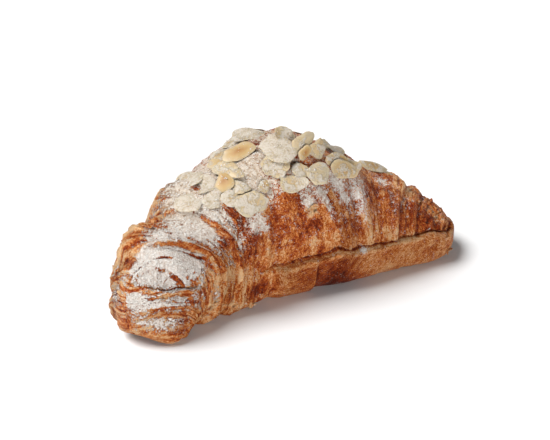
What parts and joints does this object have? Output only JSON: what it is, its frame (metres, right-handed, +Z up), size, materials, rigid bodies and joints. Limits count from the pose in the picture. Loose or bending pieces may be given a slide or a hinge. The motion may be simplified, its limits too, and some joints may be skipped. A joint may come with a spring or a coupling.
{
  "type": "almond croissant",
  "caption": "Baked crescent pastry cut along one side and closed again, with flaked almonds baked onto its top; it rests on its flat base.",
  "frame": {"origin": "middle of the bounding box at the height of the base", "axes": "+X along the pastry towards its flatter tip, +Y towards the bulging far side, +Z up"},
  "size_m": [0.167, 0.0732, 0.07],
  "materials": {
    "crust": "flaky baked crust, matt with a light sheen on the brown parts",
    "almond": "flaked almond, satin, powdered with icing sugar",
    "icing_sugar": "matt white powder"
  },
  "bodies": {
    "root": {"croissant": "crust"}
  },
  "joints": []
}
